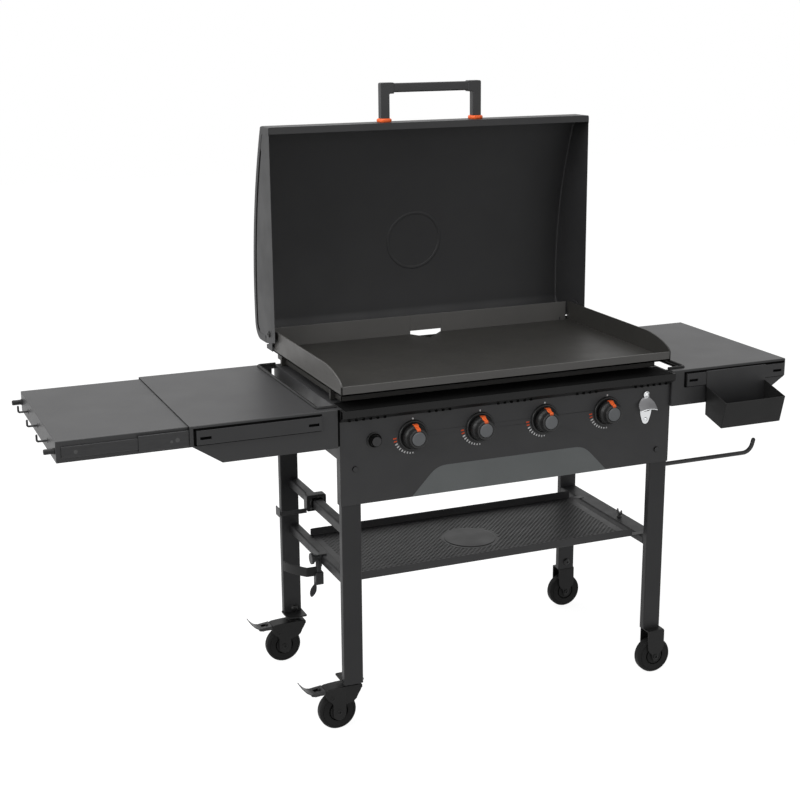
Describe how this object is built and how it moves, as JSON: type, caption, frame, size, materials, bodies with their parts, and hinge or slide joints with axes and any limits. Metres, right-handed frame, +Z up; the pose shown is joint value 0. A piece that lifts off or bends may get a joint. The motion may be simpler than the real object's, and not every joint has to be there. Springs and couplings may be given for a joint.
{
  "type": "outdoor gas griddle station",
  "caption": "Gas griddle on a wheeled stand with a raised hood, two side shelves, a drawn-out shelf extension, a caddy bin and a tank hanger.",
  "frame": {"origin": "on the floor under the middle of the whole station's bounding box, hood raised and shelf extension drawn out", "axes": "+X to the right of the person at the knobs, +Y away from them towards the hood's hinge, +Z up"},
  "size_m": [2.002, 0.7644, 1.5742],
  "materials": {
    "body_paint": "black powder coat, satin",
    "hood_paint": "black heat-resistant paint, satin",
    "plate_steel": "rolled steel with a dark seasoned face",
    "zinc_steel": "zinc-plated",
    "burner_steel": "stainless",
    "chrome_plate": "polished plating",
    "gas_pipe": "bare tube",
    "valve_metal": "cast",
    "knob_black": "black, soft sheen",
    "dark_plastic": "black, soft sheen",
    "orange_plastic": "orange, satin",
    "wheel_rubber": "black, matt",
    "bumper_rubber": "black, matt",
    "caster_paint": "black e-coat",
    "fastener_steel": "dark plated screws"
  },
  "bodies": {
    "stand": {"front_legs": "body_paint", "rear_legs": "body_paint", "crossbars": "body_paint", "bottom_tray": "body_paint", "top_frame": "body_paint", "body_panels": "body_paint", "control_panel": "body_paint", "front_rail": "body_paint", "firebox": "body_paint", "burners": "burner_steel", "manifold": "gas_pipe", "valve_bodies": "valve_metal", "knob_bezels": "knob_black", "igniter_module": "dark_plastic", "hinge_brackets": "body_paint", "left_shelf": "body_paint", "right_shelf": "body_paint", "slide_outers": "zinc_steel", "right_hooks": "body_paint", "accessory_rails": "body_paint", "towel_rod": "body_paint", "bottle_opener": "chrome_plate", "tank_hanger": "body_paint", "tank_hook": "body_paint", "tank_clamp": "body_paint", "cup_runners": "body_paint", "swivel_pads": "caster_paint", "fixed_forks": "caster_paint", "frame_bolts": "fastener_steel"},
    "hood": {"hood_shell": "hood_paint", "hood_ends": "hood_paint", "hood_handle": "dark_plastic", "handle_bezels": "orange_plastic"},
    "griddle": {"griddle_plate": "plate_steel", "griddle_feet": "plate_steel"},
    "igniter": {"igniter_button": "knob_black"},
    "extension": {"extension_shelf": "body_paint", "slide_inners": "zinc_steel", "extension_hooks": "body_paint", "extension_bumpers": "bumper_rubber"},
    "slide_middle": {"slide_middles": "zinc_steel"},
    "bin": {"caddy_bin": "body_paint"},
    "cup": {"grease_cup": "body_paint"},
    "paddle": {"clamp_paddle": "body_paint"},
    "fork_front": {"swivel_fork_front": "caster_paint"},
    "fork_rear": {"swivel_fork_rear": "caster_paint"},
    "brake_front": {"brake_lever_front": "caster_paint"},
    "brake_rear": {"brake_lever_rear": "caster_paint"},
    "wheel_fl": {"wheel_front_left": "wheel_rubber"},
    "wheel_rl": {"wheel_rear_left": "wheel_rubber"},
    "wheel_fr": {"wheel_front_right": "wheel_rubber"},
    "wheel_rr": {"wheel_rear_right": "wheel_rubber"},
    "stem_1": {"valve_stem_1": "valve_metal"},
    "dial_1": {"knob_1": "knob_black"},
    "stem_2": {"valve_stem_2": "valve_metal"},
    "dial_2": {"knob_2": "knob_black"},
    "stem_3": {"valve_stem_3": "valve_metal"},
    "dial_3": {"knob_3": "knob_black"},
    "stem_4": {"valve_stem_4": "valve_metal"},
    "dial_4": {"knob_4": "knob_black"}
  },
  "joints": [
    {"name": "hood_hinge", "type": "hinge", "parent": "stand", "child": "hood", "pos_m": [0.157, 0.25578, 0.923], "axis": [1, 0, 0], "range_deg": [0, 90.6]},
    {"name": "griddle_lift", "type": "slide", "parent": "stand", "child": "griddle", "axis": [0, 0, 1], "range_m": [0, 0.03]},
    {"name": "valve_turn_1", "type": "hinge", "parent": "stand", "child": "stem_1", "pos_m": [-0.11495, -0.26222, 0.7585], "axis": [0, -1, 0], "range_deg": [0, 180]},
    {"name": "knob_push_1", "type": "slide", "parent": "stem_1", "child": "dial_1", "axis": [0, 1, 0], "range_m": [0, 0.003], "stiffness_N_per_m": 900},
    {"name": "valve_turn_2", "type": "hinge", "parent": "stand", "child": "stem_2", "pos_m": [0.06635, -0.26222, 0.7585], "axis": [0, -1, 0], "range_deg": [0, 180]},
    {"name": "knob_push_2", "type": "slide", "parent": "stem_2", "child": "dial_2", "axis": [0, 1, 0], "range_m": [0, 0.003], "stiffness_N_per_m": 900},
    {"name": "valve_turn_3", "type": "hinge", "parent": "stand", "child": "stem_3", "pos_m": [0.24765, -0.26222, 0.7585], "axis": [0, -1, 0], "range_deg": [0, 180]},
    {"name": "knob_push_3", "type": "slide", "parent": "stem_3", "child": "dial_3", "axis": [0, 1, 0], "range_m": [0, 0.003], "stiffness_N_per_m": 900},
    {"name": "valve_turn_4", "type": "hinge", "parent": "stand", "child": "stem_4", "pos_m": [0.42895, -0.26222, 0.7585], "axis": [0, -1, 0], "range_deg": [0, 180]},
    {"name": "knob_push_4", "type": "slide", "parent": "stem_4", "child": "dial_4", "axis": [0, 1, 0], "range_m": [0, 0.003], "stiffness_N_per_m": 900},
    {"name": "igniter_push", "type": "slide", "parent": "stand", "child": "igniter", "axis": [0, 1, 0], "range_m": [0, 0.005], "stiffness_N_per_m": 600},
    {"name": "extension_slide", "type": "slide", "parent": "stand", "child": "extension", "axis": [1, 0, 0], "range_m": [0, 0.3]},
    {"name": "middle_slide", "type": "slide", "parent": "stand", "child": "slide_middle", "axis": [1, 0, 0], "range_m": [0, 0.15]},
    {"name": "bin_lift", "type": "slide", "parent": "stand", "child": "bin", "axis": [0, 0, 1], "range_m": [0, 0.03]},
    {"name": "cup_draw", "type": "slide", "parent": "stand", "child": "cup", "axis": [0, 1, 0], "range_m": [0, 0.06]},
    {"name": "paddle_swing", "type": "hinge", "parent": "stand", "child": "paddle", "pos_m": [-0.2935, -0.03022, 0.316], "axis": [1, 0, 0], "range_deg": [-18, 18]},
    {"name": "swivel_front", "type": "hinge", "parent": "stand", "child": "fork_front", "pos_m": [-0.27735, -0.22982, 0.112], "axis": [0, 0, 1], "continuous": true},
    {"name": "brake_front", "type": "hinge", "parent": "fork_front", "child": "brake_front", "pos_m": [-0.33735, -0.22982, 0.103], "axis": [0, -1, 0], "range_deg": [0, 12]},
    {"name": "spin_front_left", "type": "hinge", "parent": "fork_front", "child": "wheel_fl", "pos_m": [-0.31335, -0.22982, 0.049], "axis": [0, 1, 0], "continuous": true},
    {"name": "swivel_rear", "type": "hinge", "parent": "stand", "child": "fork_rear", "pos_m": [-0.27735, 0.20488, 0.112], "axis": [0, 0, 1], "continuous": true},
    {"name": "brake_rear", "type": "hinge", "parent": "fork_rear", "child": "brake_rear", "pos_m": [-0.33735, 0.20488, 0.103], "axis": [0, -1, 0], "range_deg": [0, 12]},
    {"name": "spin_rear_left", "type": "hinge", "parent": "fork_rear", "child": "wheel_rl", "pos_m": [-0.31335, 0.20488, 0.049], "axis": [0, 1, 0], "continuous": true},
    {"name": "spin_front_right", "type": "hinge", "parent": "stand", "child": "wheel_fr", "pos_m": [0.59435, -0.26382, 0.049], "axis": [0, 1, 0], "continuous": true},
    {"name": "spin_rear_right", "type": "hinge", "parent": "stand", "child": "wheel_rr", "pos_m": [0.59435, 0.23888, 0.049], "axis": [0, 1, 0], "continuous": true}
  ],
  "couplings": [
    {"joint": "middle_slide", "follows": "extension_slide", "ratio": 0.5}
  ]
}
